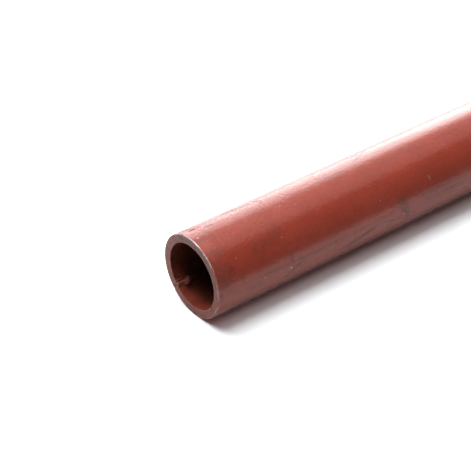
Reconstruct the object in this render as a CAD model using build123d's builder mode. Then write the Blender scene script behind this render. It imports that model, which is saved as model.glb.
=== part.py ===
from build123d import *
import os
from math import sqrt

# Welded mild steel pipe, one round hollow section that lies along X on the floor and is sawn square at both ends.
# Lengths are in millimetres. Angles are in degrees, from +Y towards +Z about the pipe's own axis.

# The section
outside_diameter = 48.3
wall_thickness = 5.0
pipe_length = 1000.0

# The weld seam: a crowned bead stands up inside, and outside the seam is scarfed to a narrow flat
seam_angle = 314.5
bead_width = 2.6
bead_height = 1.3
bead_toe_radius = 0.5
scarf_width = 4.0

# A knob of weld flash that hangs on the bead a little way in from the near end
flash_length = 4.8
flash_height = 2.6
flash_setback = 2.9

# The sawn ends have their outer edge broken
edge_break = 0.2

# How far a cutting shape runs past the surface that it cuts
cut_overrun = 1.0

# Sizes that follow from these
outside_radius = outside_diameter / 2
bore_radius = outside_radius - wall_thickness
scarf_distance = sqrt(outside_radius**2 - (scarf_width / 2) ** 2)

# Planes square to the pipe's axis, with their local x along +Y
middle_plane = Plane(origin=(0, 0, outside_radius), x_dir=(0, 1, 0), z_dir=(1, 0, 0))
near_end_plane = middle_plane.offset(-pipe_length / 2)

# The flash plane lies along the root of the bead, with its local y pointing into the wall
seam_direction = Vector(0, 1, 0).rotate(Axis.X, seam_angle)
bead_root = near_end_plane.origin + seam_direction * bore_radius
flash_centre = bead_root + Vector(flash_setback + flash_length / 2, 0, 0)
flash_plane = Plane(origin=flash_centre, x_dir=(1, 0, 0), z_dir=Vector(1, 0, 0).cross(seam_direction))

with BuildPart() as pipe:
    # Ring with the bead standing on the wall of its bore, drawn out to the full length
    with BuildSketch(near_end_plane) as section:
        Circle(outside_radius)
        Circle(bore_radius, mode=Mode.SUBTRACT)
        with PolarLocations(bore_radius, 1, start_angle=seam_angle):
            Ellipse(bead_height, bead_width / 2)
    extrude(amount=pipe_length)

    # Toes of the bead, where it runs out into the bore
    toes = pipe.edges().filter_by(Axis.X).sort_by_distance(bead_root)[:2]
    fillet(toes, bead_toe_radius)

    # Broken outer edges of the two sawn ends
    end_edges = pipe.faces().filter_by(Axis.X).edges().filter_by(GeomType.CIRCLE)
    chamfer(end_edges.group_by(SortBy.RADIUS)[-1], edge_break)

    # Scarfed flat along the outside of the seam
    with BuildSketch(near_end_plane) as scarf:
        with PolarLocations(scarf_distance, 1, start_angle=seam_angle):
            Rectangle(cut_overrun, scarf_width + cut_overrun, align=(Align.MIN, Align.CENTER))
    extrude(amount=pipe_length, mode=Mode.SUBTRACT)

    # Flash knob, half an ellipse turned about the root of the bead
    with BuildSketch(flash_plane) as flash_outline:
        Ellipse(flash_length / 2, flash_height)
        Rectangle(flash_length, flash_height, align=(Align.CENTER, Align.MAX), mode=Mode.SUBTRACT)
    revolve(axis=Axis(flash_centre, flash_plane.x_dir))

pipe.part.label = "pipe"

os.makedirs("parts", exist_ok=True)
export_step(pipe.part, "parts/pipe.step")
print("pipe", pipe.part.bounding_box().size)
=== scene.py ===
from math import atan2, cos, exp, hypot, pi, radians, sin, sqrt

import bmesh
import bpy
from mathutils import Matrix, Vector, noise


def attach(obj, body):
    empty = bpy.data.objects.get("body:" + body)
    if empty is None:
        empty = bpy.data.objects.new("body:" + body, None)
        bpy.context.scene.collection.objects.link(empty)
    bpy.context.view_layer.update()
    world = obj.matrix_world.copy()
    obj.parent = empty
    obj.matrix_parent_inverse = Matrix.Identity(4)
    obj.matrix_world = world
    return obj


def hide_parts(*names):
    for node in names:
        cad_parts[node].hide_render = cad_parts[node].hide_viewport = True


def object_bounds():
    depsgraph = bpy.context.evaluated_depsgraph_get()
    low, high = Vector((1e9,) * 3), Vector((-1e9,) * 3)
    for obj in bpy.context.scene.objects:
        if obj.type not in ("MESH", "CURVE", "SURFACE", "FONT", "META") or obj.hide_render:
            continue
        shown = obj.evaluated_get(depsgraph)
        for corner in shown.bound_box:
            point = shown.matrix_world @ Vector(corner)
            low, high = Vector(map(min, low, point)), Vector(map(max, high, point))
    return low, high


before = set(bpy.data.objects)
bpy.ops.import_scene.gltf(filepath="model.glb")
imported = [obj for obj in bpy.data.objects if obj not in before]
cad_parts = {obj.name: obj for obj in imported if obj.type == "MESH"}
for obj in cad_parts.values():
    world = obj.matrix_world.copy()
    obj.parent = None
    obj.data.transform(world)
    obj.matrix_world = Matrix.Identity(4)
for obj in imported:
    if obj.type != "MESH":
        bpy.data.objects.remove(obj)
cadLow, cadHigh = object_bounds()
print("frame loaded, CAD box", tuple(cadLow), tuple(cadHigh))

photoCamera = {
    "place": (-0.90310, -0.55700, 0.55707),
    "turn": radians(37.799),  # from +Y towards +X
    "down": radians(36.378),
    "lens": 127.35,
    "sensor": 36.0,
    "clipStart": 0.01,
}


def buildCamera():
    data = bpy.data.cameras.new("photoCamera")
    data.lens = photoCamera["lens"]
    data.sensor_width = photoCamera["sensor"]
    data.clip_start = photoCamera["clipStart"]
    camera = bpy.data.objects.new("photoCamera", data)
    camera.location = photoCamera["place"]
    camera.rotation_euler = (pi / 2 - photoCamera["down"], 0, -photoCamera["turn"])
    bpy.context.scene.collection.objects.link(camera)
    bpy.context.scene.camera = camera
    print("camera placed")


# The pipe lies along X, and its ends, axis and outside come from the CAD box.
# Lengths are in metres, and angles go from +Y towards +Z about the axis.
nearEnd = cadLow.x
pipeLength = cadHigh.x - cadLow.x
outerRadius = min(-cadLow.y, cadHigh.y, (cadHigh.z - cadLow.z) / 2)
axisHeight = (cadHigh.z + cadLow.z) / 2
slack = 1e-6  # for rounding errors

pipe = {
    "wall": 0.0050,
    "edgeRound": 0.00016,  # edges of both sawn ends
    "edgeSegments": 3,
    "sharpAngle": radians(40),
    "coarseSteps": 190,  # spin steps round the pipe, outside the seam
    "seamSteps": 30,  # finer steps across the seam
    "seamSpan": radians(18),
    "seamAngle": radians(314.5),
    "scarfWidth": 0.0040,  # flat left outside the seam by the scarfing tool
    "waviness": 0.00005,  # how far the rolled outside dips
    "waves": [(0.7, 14, 2.2), (0.3, 70, 9)],  # share, rate along the pipe, rate round it
}
boreRadius = outerRadius - pipe["wall"]

# Where the spacing of the mesh along the pipe changes, from either end or from the near end
wallZones = {"ends": 0.030, "nearOutside": 0.250, "boreThroat": 0.050, "boreMouth": 0.012}

bead = {
    "halfWidth": 0.0016,
    "height": 0.0013,
    "crown": 1.4,  # higher is narrower on top, with softer toes
    "wander": 0.00025,
    "wanderRate": 60,
    "wanderSeed": 3.1,
    "unevenness": 0.14,  # share of the height
    "unevenRate": 140,
    "unevenSeed": 7.7,
}

# Torn flash on the bead
flash = {
    "ragged": 0.35,
    "raggedRate": 900,
    "raggedSeed": 1.3,
    # Along the pipe, sideways from the seam, half length, half width, height, lean
    "lumps": [
        (0.0062, -0.0003, 0.0019, 0.0017, 0.0028, 0.0010),
        (0.0074, 0.0013, 0.0015, 0.0012, 0.0022, 0.0003),
        (0.0052, -0.0013, 0.0012, 0.0011, 0.0022, 0.0010),
        (0.0017, 0.0004, 0.0022, 0.0004, 0.0016, 0.0),
        (0.0025, 0.0020, 0.0035, 0.0005, 0.0008, 0.0),
    ],
}

# Ragged stretch of the near bore edge
boreBurr = {"first": radians(222), "last": radians(252), "reach": 0.0006, "rate": 55, "seed": 4.0}

sawnFaces = {
    "sawRelief": 0.00005,  # how far the saw marks dip
    "sawSlant": (0.9, 0.43),  # direction across the marks, in Y and Z
    "sawRates": (900, 90),  # across the marks and along them
    "dings": 0.00010,
    "dingWidth": 0.0015,  # how far in from the outside they go
    "dingRate": 16,
    "dingSeeds": {"near": 1.0, "far": 8.0},
    # Dents in the near face: angle, radius, depth, width
    "dents": [
        (radians(314.5), 0.0206, 0.0008, 0.00045),  # gas pore in the weld
        (radians(312.4), 0.0238, 0.0004, 0.00050),  # nick in the rim at the seam
        (radians(142.0), 0.0240, 0.0003, 0.00060),
        (radians(151.0), 0.0240, 0.0004, 0.00050),
        (radians(112.0), 0.0240, 0.0003, 0.00050),
    ],
}


def angleOf(co):
    return atan2(co.z - axisHeight, co.y)


def radiusOf(co):
    return hypot(co.y, co.z - axisHeight)


def fromPolar(along, angle, radius):
    return Vector((nearEnd + along, radius * cos(angle), axisHeight + radius * sin(angle)))


def turnFrom(angle, start):  # from -pi to pi
    return (angle - start + pi) % (2 * pi) - pi


def sway(*place):  # smooth noise, about -1 to 1
    return noise.noise(Vector(place))


def drift(*place):  # smooth noise, about 0 to 1
    return 0.5 + 0.5 * sway(*place)


def wallOutline(bm):
    # Lengthwise outline of the wall: distance from the near end, radius, cuts up to the next point
    farZone = pipeLength - wallZones["ends"]
    points = [
        (0, boreRadius, 12),
        (0, outerRadius, 30),
        (wallZones["ends"], outerRadius, 110),
        (wallZones["nearOutside"], outerRadius, 64),
        (farZone, outerRadius, 16),
        (pipeLength, outerRadius, 8),
        (pipeLength, boreRadius, 12),
        (farZone, boreRadius, 48),
        (wallZones["boreThroat"], boreRadius, 20),
        (wallZones["boreMouth"], boreRadius, 32),
    ]
    distances, radii, cuts = zip(*points)
    startAngle = pipe["seamAngle"] + pipe["seamSpan"] / 2
    verts = [bm.verts.new(fromPolar(along, startAngle, radius)) for along, radius in zip(distances, radii)]
    sides = [bm.edges.new(ends) for ends in zip(verts, verts[1:] + verts[:1])]
    for side, count in zip(sides, cuts):
        bmesh.ops.subdivide_edges(bm, edges=[side], cuts=count)


def turnWall(bm):
    # Once round the pipe, coarse outside the seam and fine across it
    centre = (0, 0, axisHeight)
    around = bmesh.ops.spin(bm, geom=bm.verts[:] + bm.edges[:], cent=centre, axis=(1, 0, 0),
                            angle=2 * pi - pipe["seamSpan"], steps=pipe["coarseSteps"])
    bmesh.ops.spin(bm, geom=around["geom_last"], cent=centre, axis=(1, 0, 0),
                   angle=pipe["seamSpan"], steps=pipe["seamSteps"])
    bmesh.ops.remove_doubles(bm, verts=bm.verts, dist=slack)
    bmesh.ops.recalc_face_normals(bm, faces=bm.faces)


def finishSurfaces(bm):
    # Primer outside, bare steel on the sawn faces, scale in the bore, and rounded edges worn bright, their
    # top also a painted highlight
    primerSlot, sawnSlot, boreSlot, edgeSlot = range(4)
    midWall = (boreRadius + outerRadius) / 2
    for face in bm.faces:
        if abs(face.normal.x) > 0.5:  # square to the axis
            face.material_index = sawnSlot
        elif radiusOf(face.calc_center_median()) > midWall:
            face.material_index = primerSlot
        else:
            face.material_index = boreSlot
    for neighbours, slot in (({primerSlot, sawnSlot}, edgeSlot), ({boreSlot, sawnSlot}, sawnSlot)):
        rims = [edge for edge in bm.edges if {face.material_index for face in edge.link_faces} == neighbours]
        rounded = bmesh.ops.bevel(bm, geom=rims, offset=pipe["edgeRound"], offset_type="OFFSET",
                                  affect="EDGES", segments=pipe["edgeSegments"], profile=0.5, material=-1)
        for face in rounded["faces"]:
            face.material_index = slot


def beadLift(along, arc):
    # A crown with soft toes that wanders a little
    arc -= bead["wander"] * sway(along * bead["wanderRate"], bead["wanderSeed"], 0)
    uneven = bead["unevenness"] * sway(along * bead["unevenRate"], bead["unevenSeed"], 0)
    share = min(1.0, abs(arc) / bead["halfWidth"])
    return bead["height"] * (1 + uneven) * cos(share * pi / 2) ** bead["crown"]


def flashLift(along, arc):
    # Height and lean of the torn flash
    best, bestLean = 0.0, 0.0
    rate = flash["raggedRate"]
    ragged = flash["ragged"] * sway(along * rate, arc * rate, flash["raggedSeed"])
    for place, sideways, halfLength, halfWidth, height, lean in flash["lumps"]:
        inside = 1 - ((along - place) / halfLength) ** 2 - ((arc - sideways) / halfWidth) ** 2
        if inside > 0:
            lift = height * sqrt(inside) * (1 + ragged)
            if lift > best:
                best, bestLean = lift, lean * inside
    return best, bestLean


def burrReach(angle):
    # How far the ragged stretch stands into the bore
    turn = turnFrom(angle, boreBurr["first"])
    if not 0 < turn < boreBurr["last"] - boreBurr["first"]:
        return 0.0
    return boreBurr["reach"] * max(0.0, sway(angle * boreBurr["rate"], boreBurr["seed"], 0))


def outsideDip(along, angle):
    # The rolled wall dips a little, and the scarfed seam is flat
    y, z = cos(angle), sin(angle)
    waves = [share * drift(along * rate, turns * y, turns * z) for share, rate, turns in pipe["waves"]]
    dip = pipe["waviness"] * sum(waves)
    turn = turnFrom(angle, pipe["seamAngle"])
    half = pipe["scarfWidth"] / 2
    if abs(turn) < half / outerRadius:
        dip = max(dip, outerRadius - sqrt(outerRadius ** 2 - half ** 2) / cos(turn))
    return dip


def sawDip(angle, radius):
    # Slanting saw marks
    y, z = radius * cos(angle), radius * sin(angle)
    slantY, slantZ = sawnFaces["sawSlant"]
    acrossRate, alongRate = sawnFaces["sawRates"]
    across, along = y * slantY + z * slantZ, z * slantY - y * slantZ
    return sawnFaces["sawRelief"] * drift(across * acrossRate, along * alongRate, 0)


def dentDip(angle, radius):
    dip = 0.0
    for dentAngle, dentRadius, depth, width in sawnFaces["dents"]:
        away = hypot(radius - dentRadius, turnFrom(angle, dentAngle) * radius)
        dip += depth * exp(-(away / width) ** 2)
    return dip


def dingDip(angle, radius, end):
    # Small knocks round the outer rim of an end
    if radius <= outerRadius - sawnFaces["dingWidth"]:
        return 0.0
    return sawnFaces["dings"] * max(0.0, sway(angle * sawnFaces["dingRate"], sawnFaces["dingSeeds"][end], 0))


def shapeVertex(co):
    along, angle, radius = co.x - nearEnd, angleOf(co), radiusOf(co)
    newAlong, newAngle, newRadius = along, angle, radius
    rounding = pipe["edgeRound"] + slack
    onNearFace = along < rounding
    onFarFace = pipeLength - along < rounding
    if radius < boreRadius + rounding:
        arc = turnFrom(angle, pipe["seamAngle"]) * boreRadius
        lift, lean = flashLift(along, arc)
        newRadius -= max(beadLift(along, arc), lift)
        newAngle -= lean / boreRadius
        if onNearFace:
            newRadius -= burrReach(angle)
    if radius > outerRadius - rounding:
        newRadius -= outsideDip(along, angle)
    if onNearFace:
        newAlong += sawDip(angle, radius) + dentDip(angle, radius) + dingDip(angle, radius, "near")
    if onFarFace:
        newAlong -= sawDip(angle, radius) + dingDip(angle, radius, "far")
    return fromPolar(newAlong, newAngle, newRadius)


def wrapCoordinates(bm):
    # UV in metres: along the pipe from the near end, and round it from the weld seam
    layer = bm.loops.layers.uv.new("wrap")
    for face in bm.faces:
        middle = angleOf(face.calc_center_median())
        fromSeam = (middle - pipe["seamAngle"]) % (2 * pi)
        for loop in face.loops:
            co = loop.vert.co
            loop[layer].uv = (co.x - nearEnd, (fromSeam + turnFrom(angleOf(co), middle)) * outerRadius)


def buildPipe(materials):
    bm = bmesh.new()
    wallOutline(bm)
    turnWall(bm)
    finishSurfaces(bm)
    for v in bm.verts:
        v.co = shapeVertex(v.co)
    wrapCoordinates(bm)
    mesh = bpy.data.meshes.new("steel_pipe")
    bm.to_mesh(mesh)
    bm.free()
    for material in materials:
        mesh.materials.append(material)
    mesh.shade_smooth()
    mesh.set_sharp_from_angle(angle=pipe["sharpAngle"])
    piece = bpy.data.objects.new("steel_pipe", mesh)
    bpy.context.scene.collection.objects.link(piece)
    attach(piece, "root")
    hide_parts("pipe")
    print("pipe built,", len(mesh.polygons), "faces")


nodeSpacing = 190  # in the node editor
noiseMiddle = 0.5  # what the noise nodes vary about
millimetre = 0.001  # unit of the bump heights


def feed(tree, node, inputs):
    # Links sockets to a node's inputs, and sets plain values on them
    for name, value in inputs.items():
        if isinstance(value, bpy.types.NodeSocket):
            tree.links.new(value, node.inputs[name])
        else:
            node.inputs[name].default_value = value


def put(tree, kind, inputs=None, **settings):
    # Adds a node and sets it up
    node = tree.nodes.new(kind if kind.startswith("NodeGroup") else "ShaderNode" + kind)
    node.location = (nodeSpacing * len(tree.nodes), 0)
    for name, value in settings.items():
        setattr(node, name, value)
    feed(tree, node, inputs or {})
    return node


def calc(tree, operation, a, b=0.0):
    return put(tree, "Math", {0: a, 1: b}, operation=operation).outputs[0]


def weightedSum(tree, *parts):
    total = 0.0
    for value, weight in parts:
        total = put(tree, "Math", {0: value, 1: weight, 2: total}, operation="MULTIPLY_ADD").outputs[0]
    return total


def vectorCalc(tree, operation, a, b):
    node = put(tree, "VectorMath", {0: a, "Scale" if operation == "SCALE" else 1: b}, operation=operation)
    return node.outputs["Value" if operation in ("DOT_PRODUCT", "DISTANCE") else "Vector"]


def ramp(tree, value, low, high, start=0.0, end=1.0):
    inputs = {"Value": value, "From Min": low, "From Max": high, "To Min": start, "To Max": end}
    return put(tree, "MapRange", inputs, interpolation_type="SMOOTHSTEP").outputs["Result"]


def fade(tree, value, low, high):
    return ramp(tree, value, low, high, 1.0, 0.0)


def blendColour(tree, share, first, second):
    return put(tree, "Mix", {0: share, 6: first, 7: second}, data_type="RGBA").outputs[2]


def tint(tree, colour, mask, strength, ink):
    # Lays an ink over a colour where the mask is
    return blendColour(tree, calc(tree, "MULTIPLY", mask, strength), colour, ink)


def speckle(tree, vector, scale, detail=2.0, roughness=0.5):
    inputs = {"Vector": vector, "Scale": scale, "Detail": detail, "Roughness": roughness}
    return put(tree, "TexNoise", inputs).outputs["Fac"]


def endDistance(tree, wrap):  # from the nearer end of the pipe
    along = put(tree, "SeparateXYZ", {"Vector": wrap}).outputs["X"]
    return calc(tree, "MINIMUM", along, calc(tree, "SUBTRACT", pipeLength, along))


def newGroup(name, inputs, outputs):
    # An input with no value of its own is a vector, and the others are numbers
    tree = bpy.data.node_groups.new(name, "ShaderNodeTree")
    for label, value in inputs.items():
        kind = "NodeSocketVector" if value is None else "NodeSocketFloat"
        socket = tree.interface.new_socket(name=label, in_out="INPUT", socket_type=kind)
        if value is not None:
            socket.default_value = value
    for label in outputs:
        tree.interface.new_socket(name=label, in_out="OUTPUT", socket_type="NodeSocketFloat")
    return tree, put(tree, "NodeGroupInput").outputs


def closeGroup(tree, **results):
    feed(tree, put(tree, "NodeGroupOutput"), results)
    return tree


fineGrain = {
    "coarse": 0.6,  # share of each kind of grain
    "fine": 0.25,
    "nibs": 0.2,
    "fineness": 2.6,  # how much closer the fine grain is
    "nibChoice": (0.55, 0.75),  # only some places have a nib
    "nibEdge": (0.05, 0.45),
}


def grainGroup():
    # Sandy relief with scattered nibs, its height in millimetres
    tree, given = newGroup("fineGrain", {"Vector": None, "Scale": 800.0, "Depth": 0.03}, ["Height", "Grain"])
    coarse = speckle(tree, given["Vector"], given["Scale"], detail=2.0, roughness=0.55)
    fineScale = calc(tree, "MULTIPLY", given["Scale"], fineGrain["fineness"])
    fine = speckle(tree, given["Vector"], fineScale, detail=1.0)
    cells = put(tree, "TexVoronoi", {"Vector": given["Vector"], "Scale": given["Scale"]}).outputs
    chosen = ramp(tree, cells["Color"], *fineGrain["nibChoice"])
    nibs = calc(tree, "MULTIPLY", fade(tree, cells["Distance"], *fineGrain["nibEdge"]), chosen)
    parts = [(coarse, fineGrain["coarse"]), (fine, fineGrain["fine"]), (nibs, fineGrain["nibs"])]
    grain = weightedSum(tree, *parts)
    return closeGroup(tree, Height=calc(tree, "MULTIPLY", grain, given["Depth"]), Grain=grain)


blotches = {"large": 0.65, "small": 0.35, "smallness": 11.0, "gain": 4.0}


def blotchGroup():
    # Soft uneven patches, from large drift to small mottling
    tree, given = newGroup("blotches", {"Vector": None, "Scale": 30.0, "Contrast": 0.5}, ["Mask"])
    large = speckle(tree, given["Vector"], given["Scale"], detail=4.0, roughness=0.6)
    smallScale = calc(tree, "MULTIPLY", given["Scale"], blotches["smallness"])
    small = speckle(tree, given["Vector"], smallScale, detail=3.0, roughness=0.6)
    both = weightedSum(tree, (large, blotches["large"]), (small, blotches["small"]))
    gain = calc(tree, "MULTIPLY", given["Contrast"], blotches["gain"])
    spread = calc(tree, "MULTIPLY", calc(tree, "SUBTRACT", both, noiseMiddle), gain)
    mask = put(tree, "Clamp", {"Value": calc(tree, "ADD", spread, noiseMiddle)}).outputs[0]
    return closeGroup(tree, Mask=mask)


endFade = 0.3  # share of the reach over which the end mask fades


def endGroup():
    # A ragged mask at both ends of the pipe
    inputs = {"Vector": None, "Wrap": None, "Reach": 0.001, "Scale": 900.0}
    tree, given = newGroup("nearEnds", inputs, ["Mask"])
    noisy = speckle(tree, given["Vector"], given["Scale"], detail=3.0, roughness=0.7)
    ragged = calc(tree, "MULTIPLY", noisy, given["Reach"])
    gap = calc(tree, "SUBTRACT", endDistance(tree, given["Wrap"]), ragged)
    return closeGroup(tree, Mask=fade(tree, gap, 0.0, calc(tree, "MULTIPLY", given["Reach"], endFade)))


scuffStroke = {"wobbleScale": 260.0, "gapScale": 420.0, "gapEdge": (0.35, 0.6)}


def strokeGroup():
    # One scuff between two places, soft at its sides and patchy along it
    inputs = {"Place": None, "From": None, "To": None, "Width": 0.0005, "Patchy": 0.5, "Wobble": 0.001}
    tree, given = newGroup("scuffStroke", inputs, ["Mask"])
    noisy = {"Vector": given["Place"], "Scale": scuffStroke["wobbleScale"], "Detail": 2.0}
    wobble = put(tree, "TexNoise", noisy).outputs["Color"]
    shift = vectorCalc(tree, "SUBTRACT", wobble, [noiseMiddle] * 3)
    swayed = vectorCalc(tree, "ADD", given["Place"], vectorCalc(tree, "SCALE", shift, given["Wobble"]))
    reach = vectorCalc(tree, "SUBTRACT", swayed, given["From"])
    run = vectorCalc(tree, "SUBTRACT", given["To"], given["From"])
    reachRun = vectorCalc(tree, "DOT_PRODUCT", reach, run)
    runRun = vectorCalc(tree, "DOT_PRODUCT", run, run)
    share = put(tree, "Clamp", {"Value": calc(tree, "DIVIDE", reachRun, runRun)}).outputs[0]
    away = vectorCalc(tree, "DISTANCE", reach, vectorCalc(tree, "SCALE", run, share))
    core = fade(tree, away, 0.0, given["Width"])
    breaks = speckle(tree, given["Place"], scuffStroke["gapScale"], detail=3.0, roughness=0.6)
    gaps = ramp(tree, breaks, *scuffStroke["gapEdge"], start=calc(tree, "SUBTRACT", 1.0, given["Patchy"]))
    return closeGroup(tree, Mask=calc(tree, "MULTIPLY", core, gaps))


lengthwiseRub = {
    "placeScale": 16.0,  # the marks gather in some places
    "gathering": 0.5,
    "edge": 0.86,  # level of the noise where a mark starts, with no share
    "shareGain": 0.5,
    "softness": 0.09,
}


def rubGroup():
    # Sparse marks drawn out along the pipe
    inputs = {"Vector": None, "Along": 14.0, "Across": 420.0, "Share": 0.3}
    tree, given = newGroup("lengthwiseRub", inputs, ["Mask"])
    stretch = put(tree, "CombineXYZ", {"X": given["Along"], "Y": given["Across"], "Z": given["Across"]})
    drawn = vectorCalc(tree, "MULTIPLY", given["Vector"], stretch.outputs["Vector"])
    marks = speckle(tree, drawn, 1.0, detail=3.0, roughness=0.6)
    places = calc(tree, "SUBTRACT", speckle(tree, given["Vector"], lengthwiseRub["placeScale"]), noiseMiddle)
    level = weightedSum(tree, (marks, 1.0), (places, lengthwiseRub["gathering"]))
    lowered = calc(tree, "MULTIPLY", given["Share"], lengthwiseRub["shareGain"])
    edge = calc(tree, "SUBTRACT", lengthwiseRub["edge"], lowered)
    return closeGroup(tree, Mask=ramp(tree, level, edge, calc(tree, "ADD", edge, lengthwiseRub["softness"])))


specks = {"sizePower": 2.0, "core": 0.4}  # a higher power leaves fewer large ones


def speckGroup():
    # Sparse round specks, each of its own size
    tree, given = newGroup("specks", {"Wrap": None, "Spacing": 0.02, "Size": 0.0004}, ["Mask"])
    scale = calc(tree, "DIVIDE", 1.0, given["Spacing"])
    spread = {"Vector": given["Wrap"], "Scale": scale}
    cells = put(tree, "TexVoronoi", spread, voronoi_dimensions="2D").outputs
    largest = calc(tree, "MULTIPLY", given["Size"], scale)
    size = calc(tree, "MULTIPLY", largest, calc(tree, "POWER", cells["Color"], specks["sizePower"]))
    core = calc(tree, "MULTIPLY", size, specks["core"])
    return closeGroup(tree, Mask=fade(tree, cells["Distance"], core, size))


groups = {"grain": grainGroup(), "blotches": blotchGroup(), "nearEnds": endGroup(), "stroke": strokeGroup(),
          "rub": rubGroup(), "specks": speckGroup()}
print("shader groups made,", len(groups))


def useGroup(tree, name, inputs, values):
    return put(tree, "Group", {**inputs, **values}, node_tree=groups[name]).outputs


def newMaterial(name):
    material = bpy.data.materials.new(name)
    material.use_nodes = True
    return material, material.node_tree, material.node_tree.nodes["Principled BSDF"]


def objectPlace(tree):
    return put(tree, "TexCoord").outputs["Object"]


def wrapPlace(tree):
    return put(tree, "UVMap", uv_map="wrap").outputs["UV"]


def relief(tree, height):
    return put(tree, "Bump", {"Height": height, "Distance": millimetre}).outputs["Normal"]


def skinPlace(alongMm, degrees):  # place on the outside in the wrap coordinates
    turn = (radians(degrees) - pipe["seamAngle"]) % (2 * pi)
    return (alongMm * millimetre, turn * outerRadius, 0)


def facePlace(degrees, radiusMm):  # place on a sawn face, across the pipe
    angle, radius = radians(degrees), radiusMm * millimetre
    return (radius * cos(angle), axisHeight + radius * sin(angle), 0)


def strokes(tree, place, kind, placeOf):
    # All marks of one kind, the strongest on top
    total = None
    for *ends, width, strength in kind["marks"]:
        values = {"From": placeOf(*ends[:2]), "To": placeOf(*ends[2:]), "Width": width * millimetre,
                  "Patchy": kind["patchy"], "Wobble": kind["wobble"]}
        mask = calc(tree, "MULTIPLY", useGroup(tree, "stroke", {"Place": place}, values)["Mask"], strength)
        total = mask if total is None else calc(tree, "MAXIMUM", total, mask)
    return total


primer = {
    "deep": (0.40, 0.055, 0.030, 1),
    "pale": (0.485, 0.077, 0.046, 1),
    "scuff": (0.055, 0.022, 0.018, 1),
    "grime": (0.17, 0.048, 0.036, 1),
    "chip": (0.74, 0.58, 0.52, 1),
    "steel": (0.62, 0.58, 0.55, 1),
    "rough": 0.16,
    "grainRough": 0.12,  # what grain, scuffs and scratches add
    "scuffRough": 0.3,
    "scratchRough": 0.6,
    "haze": 1.0,  # sheen of the fine dust on the paint
    "hazeRough": 0.3,
    "grain": {"Scale": 700.0, "Depth": 0.22},
    "patches": {"Scale": 26.0, "Contrast": 0.8},
    "rubs": {"Along": 16.0, "Across": 460.0, "Share": 0.32},
    "rubStrength": 0.3,
    "clouds": {"Scale": 60.0, "Contrast": 1.0},
    "cloudStrength": 0.2,
    "specks": {"Spacing": 0.03, "Size": 0.00045},
    "speckStrength": 0.5,
    "rim": {"Reach": 0.0003},
    "rimStrength": 0.3,
    "rimMetal": 0.9,
    "markDepth": 0.04,  # of scuffs and scratches, in millimetres
    # Dark scuffs: from and to as millimetres from the near end and degrees, width in millimetres, strength
    "scuffs": {"patchy": 0.6, "wobble": 0.0016, "marks": [
        (16, 175, 32, 176.2, 1.2, 0.25), (30, 175.5, 52, 177.5, 1.3, 0.45), (52, 177.3, 74, 178, 1.3, 0.5),
        (74, 177.5, 92, 177, 1.3, 0.35), (90, 178, 110, 176.5, 1.3, 0.35),
        (106, 176.5, 131, 172.5, 1.6, 0.35), (145, 178.5, 166, 179.5, 1.9, 0.45),
        (160, 178, 184, 179.8, 1.6, 0.35), (138, 168, 156, 171, 2.2, 0.25),
        (156, 172, 184, 167, 2.0, 0.25), (84, 196, 92, 192.5, 2.4, 0.6),
        (90, 193, 104, 186, 2.6, 0.8), (100, 184.5, 117, 185, 1.8, 0.45), (112, 185, 126, 190, 1.8, 0.45),
        (44.7, 197, 49, 191, 2.3, 0.6), (48, 191, 55, 182.5, 2.0, 0.7), (47.4, 164, 48.5, 176, 1.8, 0.45),
        (15.4, 162, 16, 175, 1.2, 0.4), (126, 166, 129, 176, 6.0, 0.45), (128, 178, 132, 193, 5.0, 0.6),
        (1.4, 175.5, 1.5, 183, 1.4, 0.75), (115, 68, 120, 73, 1.6, 0.6), (85, 92.5, 104, 90.5, 1.2, 0.5),
        (60, 90, 78, 92, 1.0, 0.3), (124, 102, 129, 104.5, 1.8, 0.45), (142, 103, 148, 105, 1.6, 0.4),
        (165, 106, 182, 107, 1.6, 0.4), (3, 98, 5, 100, 1.3, 0.6), (20, 186, 26, 187, 3.0, 0.3),
        (43, 124, 45, 122, 1.4, 0.4),
    ]},
    # Thin scratches along the top, as the scuffs
    "scratches": {"patchy": 0.3, "wobble": 0.0005, "marks": [
        (126.5, 66, 120, 75.5, 0.55, 0.55), (120, 75.5, 113, 84, 0.55, 0.7), (28, 65.5, 36, 67.5, 1.0, 0.9),
        (36, 67.5, 49, 71.5, 0.7, 0.8), (49.3, 71, 50, 80.5, 0.7, 0.7), (13, 78, 17, 79, 1.0, 0.6),
        (4, 72, 8, 71, 0.8, 0.8), (86, 70, 88, 76, 0.6, 0.6), (97, 67, 99, 71, 0.6, 0.6),
        (142, 79, 146, 83, 0.6, 0.6),
    ]},
    # Dirty hand marks by the near end, as the scuffs
    "smudges": {"patchy": 0.5, "wobble": 0.003, "marks": [
        (1, 121, 8, 124, 4.0, 0.6), (2, 134, 9, 150, 6.0, 0.6), (3, 150, 5, 166, 7.0, 0.6),
        (1, 97, 10, 98, 3.5, 0.35), (28, 138, 44, 133, 6.0, 0.4), (2, 168, 10, 178, 4.0, 0.4),
    ]},
    # Where handling has dulled the gloss, as the scuffs
    "dulled": {"patchy": 0.3, "wobble": 0.006, "marks": [
        (1, 56, 9, 68, 6.0, 1.0), (3, 110, 4, 160, 7.0, 0.6),
    ]},
    # Light chips and scratches, as the scuffs
    "chips": {"patchy": 0.0, "wobble": 0.0006, "marks": [
        (3.5, 92, 3.6, 92.3, 0.7, 1.0), (45.3, 139, 45.4, 139.2, 0.55, 0.7), (47.5, 184, 47.8, 185, 0.8, 1.0),
        (29.6, 179.2, 29.8, 179.6, 0.6, 0.8), (15.3, 138.4, 15.4, 138.6, 0.5, 0.4),
        (108, 187.5, 117, 187.5, 1.4, 0.12), (148.2, 148, 148.8, 153.5, 0.5, 0.35),
        (112, 150, 112.2, 151.5, 0.5, 0.25), (128, 184.6, 128.2, 185.4, 0.8, 0.6),
    ]},
}


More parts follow.
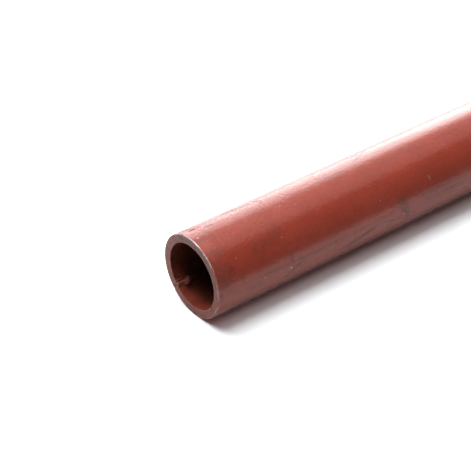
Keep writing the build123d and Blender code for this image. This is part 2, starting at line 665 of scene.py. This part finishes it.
def primerMaterial():
    material, tree, shader = newMaterial("redOxidePrimer")
    place, wrap = objectPlace(tree), wrapPlace(tree)
    kinds = ("dulled", "smudges", "scuffs", "scratches", "chips")
    dulled, smudge, scuff, scratch, chips = [strokes(tree, wrap, primer[kind], skinPlace) for kind in kinds]
    sand = useGroup(tree, "grain", {"Vector": place}, primer["grain"])
    patches = useGroup(tree, "blotches", {"Vector": place}, primer["patches"])["Mask"]
    rub = useGroup(tree, "rub", {"Vector": place}, primer["rubs"])["Mask"]
    clouds = useGroup(tree, "blotches", {"Vector": place}, primer["clouds"])["Mask"]
    speck = useGroup(tree, "specks", {"Wrap": wrap}, primer["specks"])["Mask"]
    rim = useGroup(tree, "nearEnds", {"Vector": place, "Wrap": wrap}, primer["rim"])["Mask"]

    # From the paint up
    colour = blendColour(tree, patches, primer["deep"], primer["pale"])
    colour = tint(tree, colour, rub, primer["rubStrength"], primer["scuff"])
    colour = tint(tree, colour, clouds, primer["cloudStrength"], primer["grime"])
    colour = blendColour(tree, smudge, colour, primer["grime"])
    colour = blendColour(tree, scuff, colour, primer["scuff"])
    colour = blendColour(tree, scratch, colour, primer["scuff"])
    light = calc(tree, "MAXIMUM", chips, calc(tree, "MULTIPLY", speck, primer["speckStrength"]))
    colour = blendColour(tree, light, colour, primer["chip"])
    bare = calc(tree, "MULTIPLY", rim, primer["rimStrength"])
    colour = blendColour(tree, bare, colour, primer["steel"])

    dull = calc(tree, "MAXIMUM", scuff, dulled)
    worn = [(sand["Grain"], primer["grainRough"]), (dull, primer["scuffRough"]),
            (scratch, primer["scratchRough"])]
    cut = calc(tree, "MULTIPLY", calc(tree, "MAXIMUM", scuff, scratch), primer["markDepth"])
    feed(tree, shader, {
        "Base Color": colour,
        "Roughness": calc(tree, "ADD", weightedSum(tree, *worn), primer["rough"]),
        "Metallic": calc(tree, "MULTIPLY", bare, primer["rimMetal"]),
        "Sheen Weight": primer["haze"],
        "Sheen Roughness": primer["hazeRough"],
        "Normal": relief(tree, calc(tree, "SUBTRACT", sand["Height"], cut)),
    })
    return material


sawnSteel = {
    "mauve": (0.43, 0.155, 0.128, 1),
    "grey": (0.28, 0.142, 0.130, 1),
    "stain": (0.075, 0.033, 0.030, 1),
    "bright": (0.85, 0.78, 0.74, 1),
    "primer": (0.40, 0.066, 0.040, 1),
    "rough": 0.72,
    "brightRough": 0.4,
    "sawTurn": (radians(27), 0, 0),
    "sawStretch": (1, 150, 2200),  # the same way as the saw marks in the mesh
    "sawStrength": 0.4,
    "sawDepth": 0.03,  # in millimetres
    "smearStretch": (1, 170, 620),
    "smears": (0.35, 0.7, 0.0, 0.4),  # levels of the noise, then strengths
    "spotScale": 430,
    "spots": (0.60, 0.74),
    "spotStrength": 0.6,
    "patches": {"Scale": 110.0, "Contrast": 1.0},
    "greyBase": 0.35,  # cover where the patches are thinnest
    "greyUp": (0.008, 0.040),  # grey grows with the height
    "greyBack": (-0.005, 0.022, 1.0, 0.2),  # and thins towards +Y
    "margin": (0.0017, 0.0004),  # burnished margin, in from the outer edge
    "marginScale": 260,
    "marginSpots": (0.48, 0.64, 0.0, 0.25),
    # Burnished streaks: from and to as degrees and millimetres from the axis, width in millimetres, strength
    "burnished": {"patchy": 0.5, "wobble": 0.0006, "marks": [
        (57, 24.0, 74, 24.0, 0.3, 0.5), (72, 24.0, 88, 23.9, 0.3, 0.7), (88, 23.8, 97, 23.8, 0.4, 0.9),
        (97, 23.8, 106, 23.8, 0.45, 0.9), (106, 23.6, 112, 23.5, 0.4, 0.6), (116, 23.2, 118, 22.6, 0.4, 0.6),
        (121, 22.9, 122, 23.4, 0.4, 0.8), (117, 23.8, 126, 23.8, 0.4, 1.0), (128, 23.9, 136, 23.8, 0.3, 0.6),
        (160, 22.7, 172, 22.5, 0.3, 0.5), (170, 22.8, 184, 22.9, 0.3, 0.6), (196, 23.1, 213, 23.2, 0.35, 0.5),
        (218.5, 19.4, 220.5, 19.5, 0.35, 0.8), (229, 19.4, 231, 19.5, 0.3, 0.7),  # torn bits at the bore edge
        (237, 19.4, 239, 19.5, 0.3, 0.6), (244, 19.4, 246, 19.5, 0.3, 0.7),
    ]},
    # Dark marks, in the same way; the two at 312 and 314.6 degrees darken the nick and the gas pore that are
    # dented into the near face
    "darkMarks": {"patchy": 0.2, "wobble": 0.0004, "marks": [
        (66, 21.8, 70, 21.3, 0.8, 0.7), (312.3, 23.0, 312.5, 24.1, 0.8, 1.0),
        (258, 23.7, 276, 23.8, 0.5, 0.6), (98, 20.6, 101, 21.4, 0.6, 0.4),
        (314.6, 20.4, 314.4, 21.2, 0.9, 1.0),
    ]},
    # Primer lapped over the outer edge, in the same way
    "lapped": {"patchy": 0.2, "wobble": 0.0006, "marks": [
        (134, 23.8, 150, 23.6, 1.2, 1.0), (150, 23.8, 182, 24.0, 0.9, 1.0), (182, 24.0, 214, 24.0, 0.9, 0.9),
    ]},
}


def sawLines(tree, place, stretch, detail):
    # Noise drawn out along the saw marks
    turned = put(tree, "Mapping", {"Vector": place, "Rotation": sawnSteel["sawTurn"], "Scale": stretch})
    return speckle(tree, turned.outputs["Vector"], 1.0, detail=detail, roughness=0.6)


def sawnMaterial():
    material, tree, shader = newMaterial("sawnSteel")
    place = objectPlace(tree)
    position = put(tree, "SeparateXYZ", {"Vector": place}).outputs
    across = put(tree, "CombineXYZ", {"X": position["Y"], "Y": position["Z"]}).outputs["Vector"]
    kinds = ("darkMarks", "lapped", "burnished")
    darkMarks, lapped, burnished = [strokes(tree, across, sawnSteel[kind], facePlace) for kind in kinds]

    # Mauve rust that turns grey towards the top
    patches = useGroup(tree, "blotches", {"Vector": place}, sawnSteel["patches"])["Mask"]
    up = ramp(tree, position["Z"], *sawnSteel["greyUp"])
    grey = calc(tree, "MULTIPLY", up, ramp(tree, position["Y"], *sawnSteel["greyBack"]))
    grey = calc(tree, "MULTIPLY", grey, calc(tree, "ADD", sawnSteel["greyBase"], patches))
    colour = blendColour(tree, grey, sawnSteel["mauve"], sawnSteel["grey"])

    # Smears, spots and saw marks hold the dirt
    smears = ramp(tree, sawLines(tree, place, sawnSteel["smearStretch"], 4.0), *sawnSteel["smears"])
    colour = blendColour(tree, smears, colour, sawnSteel["stain"])
    specked = speckle(tree, place, sawnSteel["spotScale"], detail=3.0, roughness=0.6)
    spots = ramp(tree, specked, *sawnSteel["spots"])
    colour = tint(tree, colour, spots, sawnSteel["spotStrength"], sawnSteel["stain"])
    saw = sawLines(tree, place, sawnSteel["sawStretch"], 3.0)
    colour = tint(tree, colour, saw, sawnSteel["sawStrength"], sawnSteel["stain"])
    colour = blendColour(tree, darkMarks, colour, sawnSteel["stain"])
    colour = blendColour(tree, lapped, colour, sawnSteel["primer"])

    # Burnished margin by the outer edge, where no primer laps over it
    height = calc(tree, "SUBTRACT", position["Z"], axisHeight)
    radius = calc(tree, "SQRT", weightedSum(tree, (height, height), (position["Y"], position["Y"])))
    margin = ramp(tree, radius, *[outerRadius - inset for inset in sawnSteel["margin"]])
    glints = speckle(tree, place, sawnSteel["marginScale"], detail=4.0, roughness=0.7)
    margin = calc(tree, "MULTIPLY", margin, ramp(tree, glints, *sawnSteel["marginSpots"]))
    margin = calc(tree, "MULTIPLY", margin, calc(tree, "SUBTRACT", 1.0, lapped))
    shine = calc(tree, "MAXIMUM", margin, burnished)
    feed(tree, shader, {
        "Base Color": blendColour(tree, shine, colour, sawnSteel["bright"]),
        "Metallic": shine,
        "Roughness": ramp(tree, shine, 0.0, 1.0, sawnSteel["rough"], sawnSteel["brightRough"]),
        "Normal": relief(tree, calc(tree, "MULTIPLY", saw, sawnSteel["sawDepth"])),
    })
    return material


boreScale = {
    "rust": (0.10, 0.020, 0.008, 1),
    "scale": (0.035, 0.010, 0.006, 1),
    "oversprayAndLitMouth": (0.37, 0.066, 0.039, 1),  # primer that drifted in at the ends, lighter where light falls into the mouth: partly real overspray, partly painted light
    "flash": (0.34, 0.13, 0.092, 1),  # torn weld metal
    "rough": 0.8,
    "shine": 0.15,
    "grain": {"Scale": 900.0, "Depth": 0.08},
    "patches": {"Scale": 120.0, "Contrast": 0.8},
    "rubs": {"Along": 12.0, "Across": 500.0, "Share": 0.4},
    "rubStrength": 0.5,
    "reach": 0.012,  # how far the overspray goes in, also a painted fall-off of light deeper into the bore
    "cover": 1.2,  # less the patches
    "settledAndLitLow": (0.009, 0.020, 1.0, 0.25),  # it settles low: heights, then strengths; heavier low down is partly a painted pool of light where light falls in, with painted shade up the sides
    "flashLength": 0.0072,
    "flashLift": (0.001, 0.002),  # height of its middle over the wall, at the end and further in
    "flashMark": {"Width": 0.0034, "Patchy": 0.6, "Wobble": 0.001},
    "flashStrength": 0.8,
}


def boreMaterial():
    material, tree, shader = newMaterial("boreScale")
    place, wrap = objectPlace(tree), wrapPlace(tree)
    sand = useGroup(tree, "grain", {"Vector": place}, boreScale["grain"])
    patches = useGroup(tree, "blotches", {"Vector": place}, boreScale["patches"])["Mask"]
    colour = blendColour(tree, patches, boreScale["rust"], boreScale["scale"])
    rub = useGroup(tree, "rub", {"Vector": place}, boreScale["rubs"])["Mask"]
    colour = tint(tree, colour, rub, boreScale["rubStrength"], boreScale["scale"])

    # Primer overspray near the ends and low down: partly real overspray, partly painted light at the mouth
    # and painted shade deeper in and up the sides
    driftedAndLit = fade(tree, endDistance(tree, wrap), 0.0, boreScale["reach"])
    driftedAndLit = calc(tree, "MULTIPLY", driftedAndLit, calc(tree, "SUBTRACT", boreScale["cover"], patches))
    height = put(tree, "SeparateXYZ", {"Vector": place}).outputs["Z"]
    low = ramp(tree, height, *boreScale["settledAndLitLow"])
    colour = tint(tree, colour, driftedAndLit, low, boreScale["oversprayAndLitMouth"])

    startLift, endLift = boreScale["flashLift"]
    ends = {"From": fromPolar(0, pipe["seamAngle"], boreRadius - startLift),
            "To": fromPolar(boreScale["flashLength"], pipe["seamAngle"], boreRadius - endLift)}
    torn = useGroup(tree, "stroke", {"Place": place, **ends}, boreScale["flashMark"])["Mask"]
    feed(tree, shader, {
        "Base Color": tint(tree, colour, torn, boreScale["flashStrength"], boreScale["flash"]),
        "Roughness": boreScale["rough"],
        "Specular IOR Level": boreScale["shine"],
        "Normal": relief(tree, sand["Height"]),
    })
    return material


wornAndLitEdge = {
    "steel": (0.56, 0.52, 0.50, 1),
    "tarnish": (0.30, 0.075, 0.05, 1),
    "rough": 0.36,
    "patches": {"Scale": 150.0, "Contrast": 1.5},
    "wornAndLitUp": (0.031, 0.041, 0.25, 1.0),  # heights, then how bright it is there: brighter towards the top, partly real wear and partly a painted highlight where the rim catches the light
    "wornPatches": (0.3, 0.8, 1.0, 0.35),
}


def edgeMaterial():
    material, tree, shader = newMaterial("wornAndLitEdge")
    place = objectPlace(tree)
    patches = useGroup(tree, "blotches", {"Vector": place}, wornAndLitEdge["patches"])["Mask"]
    height = put(tree, "SeparateXYZ", {"Vector": place}).outputs["Z"]
    # Bare steel shows more towards the top: partly wear, partly a painted highlight along the top of the rim
    up = ramp(tree, height, *wornAndLitEdge["wornAndLitUp"])
    worn = calc(tree, "MULTIPLY", up, ramp(tree, patches, *wornAndLitEdge["wornPatches"]))
    feed(tree, shader, {
        "Base Color": blendColour(tree, worn, wornAndLitEdge["tarnish"], wornAndLitEdge["steel"]),
        "Metallic": worn,
        "Roughness": wornAndLitEdge["rough"],
    })
    return material


studio = {
    "floorSeen": (1.54, 1.63, 1.67, 1),  # white to the camera, where the shadow still falls
    "floorMirrored": (0.94, 0.94, 0.94, 1),  # white in reflections
    "floorBounce": (0.56, 0.56, 0.56, 1),  # what the floor throws back on the pipe
    "floorRadius": 26.0,
    "floorSides": 96,
    "clearance": 0.001,  # of what lies on the floor
    "worldSeen": 1.0,  # white to the camera and in reflections
    "worldFill": 0.05,  # what it lights the pipe with
    "worldColour": (1, 1, 1, 1),
    "cardColour": (0.03, 0.03, 0.03, 1),
    # Dark cards that only reflections show: one stands on the camera's side, and one lies before the pipe
    "card": {"distance": 40.0, "height": 110.0, "width": 260.0, "shift": 60.0},
    "frontCard": {"start": 0.115, "reach": 24.0, "width": 60.0, "shift": 14.0},
    # A light strip flat on the floor behind, for the gloss along the top
    "backStrip": {"start": 0.05, "reach": 2.5, "width": 6.0, "shift": 1.0, "radiance": 1.5},
    "lampDistance": 40.0,
}
# Soft lamps: angle from +Y towards +Z, tilt towards +X, width along X, height, radiance
lamps = {
    "topLamp": (radians(74), radians(-4), 36.0, 35.5, 4.5),
    "frontLamp": (radians(110), radians(-4), 36.0, 20.0, 0.96),
    "backLamp": (radians(24), radians(34), 32.0, 25.0, 2.8),
    "sideLamp": (radians(20), radians(46.5), 13.5, 20.0, 4.7),
    "lowLamp": (radians(4), radians(43), 20.0, 4.4, 6.2),
}


def seenRays(tree):  # 1 for rays that show the background, 0 for light that falls on the pipe
    ray = put(tree, "LightPath").outputs
    direct = calc(tree, "MAXIMUM", ray["Is Camera Ray"], ray["Is Glossy Ray"])
    return calc(tree, "MAXIMUM", direct, ray["Is Transmission Ray"])


def floorMaterial():
    material, tree, shader = newMaterial("paleFloor")
    tree.nodes.remove(shader)
    mirrored = blendColour(tree, seenRays(tree), studio["floorBounce"], studio["floorMirrored"])
    seen = put(tree, "LightPath").outputs["Is Camera Ray"]
    floor = put(tree, "BsdfDiffuse", {"Color": blendColour(tree, seen, mirrored, studio["floorSeen"])})
    feed(tree, tree.nodes["Material Output"], {"Surface": floor.outputs["BSDF"]})
    return material


def cardMaterial():
    material, tree, shader = newMaterial("darkCard")
    feed(tree, shader, {"Base Color": studio["cardColour"], "Roughness": 1.0, "Specular IOR Level": 0.0})
    return material


def stagePiece(name, bm, material):
    mesh = bpy.data.meshes.new(name)
    bm.to_mesh(mesh)
    bm.free()
    mesh.materials.append(material)
    piece = bpy.data.objects.new(name, mesh)
    bpy.context.scene.collection.objects.link(piece)
    return piece


def darkCard(name, width, height, lean, middle):
    bm = bmesh.new()
    bmesh.ops.create_grid(bm, x_segments=1, y_segments=1, size=0.5)
    bmesh.ops.scale(bm, vec=(width, height, 1), verts=bm.verts)
    bmesh.ops.rotate(bm, cent=(0, 0, 0), matrix=Matrix.Rotation(lean, 3, "X"), verts=bm.verts)
    bmesh.ops.translate(bm, vec=middle, verts=bm.verts)
    card = stagePiece(name, bm, cardMaterial())
    card.visible_camera = card.visible_diffuse = card.visible_shadow = False


def softLamp(name, width, height, radiance):
    light = bpy.data.lights.new(name, "AREA")
    light.shape = "RECTANGLE"
    light.size, light.size_y = width, height
    light.energy = radiance * pi * width * height
    lamp = bpy.data.objects.new(name, light)
    lamp.visible_camera = False
    bpy.context.scene.collection.objects.link(lamp)
    return lamp


def lightLamps():
    for name, (angle, tilt, width, height, radiance) in lamps.items():
        lamp = softLamp(name, width, height, radiance)
        towards = Vector((sin(tilt), cos(tilt) * cos(angle), cos(tilt) * sin(angle)))
        sideways = Vector((cos(tilt), -sin(tilt) * cos(angle), -sin(tilt) * sin(angle)))
        turn = Matrix((sideways, towards.cross(sideways), towards)).transposed()
        lamp.matrix_world = Matrix.Translation(towards * studio["lampDistance"]) @ turn.to_4x4()

    strip = studio["backStrip"]
    lamp = softLamp("backStrip", strip["width"], strip["reach"], strip["radiance"])
    lamp.location = (strip["shift"], strip["start"] + strip["reach"] / 2, studio["clearance"])
    lamp.rotation_euler = (pi, 0, 0)
    lamp.visible_diffuse = False


def lightWorld():
    world = bpy.data.worlds.new("studio")
    world.use_nodes = True
    tree = world.node_tree
    levels = {"To Min": studio["worldFill"], "To Max": studio["worldSeen"]}
    strength = put(tree, "MapRange", {"Value": seenRays(tree), **levels}).outputs["Result"]
    feed(tree, tree.nodes["Background"], {"Color": studio["worldColour"], "Strength": strength})
    bpy.context.scene.world = world


def buildStudio():
    bm = bmesh.new()
    bmesh.ops.create_circle(bm, cap_ends=True, segments=studio["floorSides"], radius=studio["floorRadius"])
    stagePiece("floor", bm, floorMaterial())

    card = studio["card"]
    middle = (card["shift"], -card["distance"], card["height"] / 2)
    darkCard("darkCard", card["width"], card["height"], -pi / 2, middle)
    card = studio["frontCard"]
    middle = (card["shift"], -card["start"] - card["reach"] / 2, studio["clearance"])
    darkCard("frontCard", card["width"], card["reach"], 0, middle)

    lightLamps()
    lightWorld()
    bpy.context.scene.view_settings.view_transform = "Standard"
    print("studio lit")


buildCamera()
finishes = [primerMaterial(), sawnMaterial(), boreMaterial(), edgeMaterial()]
print("finishes made,", len(finishes))
buildPipe(finishes)
buildStudio()
